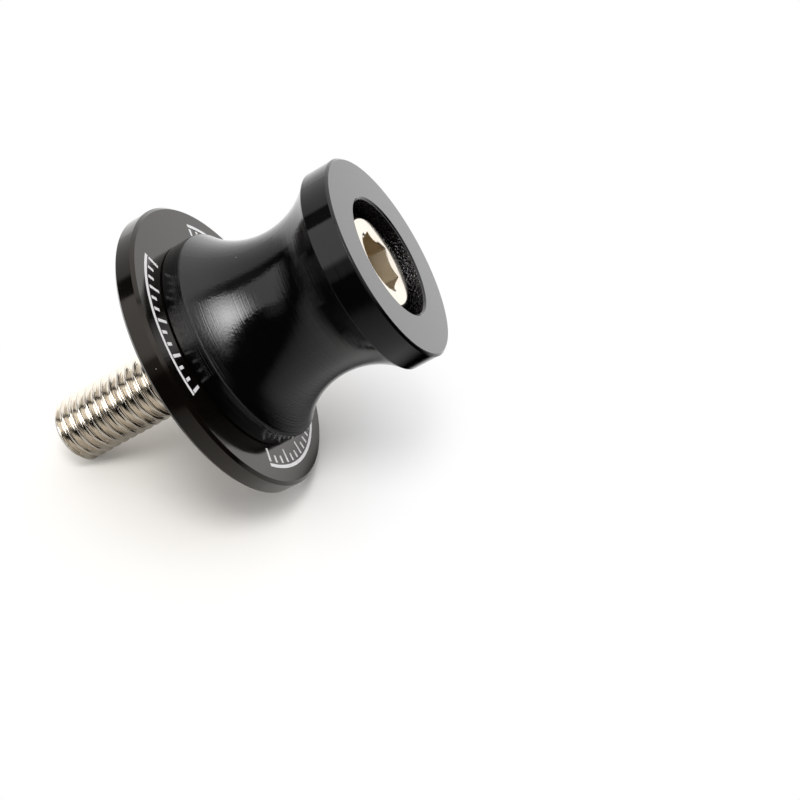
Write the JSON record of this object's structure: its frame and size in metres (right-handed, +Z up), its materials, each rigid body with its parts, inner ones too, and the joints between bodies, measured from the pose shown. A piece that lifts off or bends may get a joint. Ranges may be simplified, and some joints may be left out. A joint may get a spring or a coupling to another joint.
{
  "type": "swingarm spool",
  "caption": "Black anodised bobbin with a wide disc and a socket head screw, bolted to a swingarm so that a paddock stand can lift the motorbike.",
  "frame": {"origin": "centre of the mounting face, where the screw's axis meets the back of the disc", "axes": "+X along the screw towards its head, away from the swingarm; +Z up"},
  "size_m": [0.0564, 0.044, 0.044],
  "materials": {
    "black_anodised": "turned, black anodised, satin gloss",
    "brown_black_anodised": "turned, brownish black anodised, with white marks",
    "nickel_plated": "bright nickel plate"
  },
  "bodies": {
    "spool": {"spool_body": "black_anodised", "flange_disc": "brown_black_anodised"},
    "screw": {"cap_screw": "nickel_plated"}
  },
  "joints": [
    {"name": "bolt_turn", "type": "hinge", "parent": "spool", "child": "screw", "pos_m": [0, 0, 0], "axis": [1, 0, 0], "continuous": true}
  ]
}
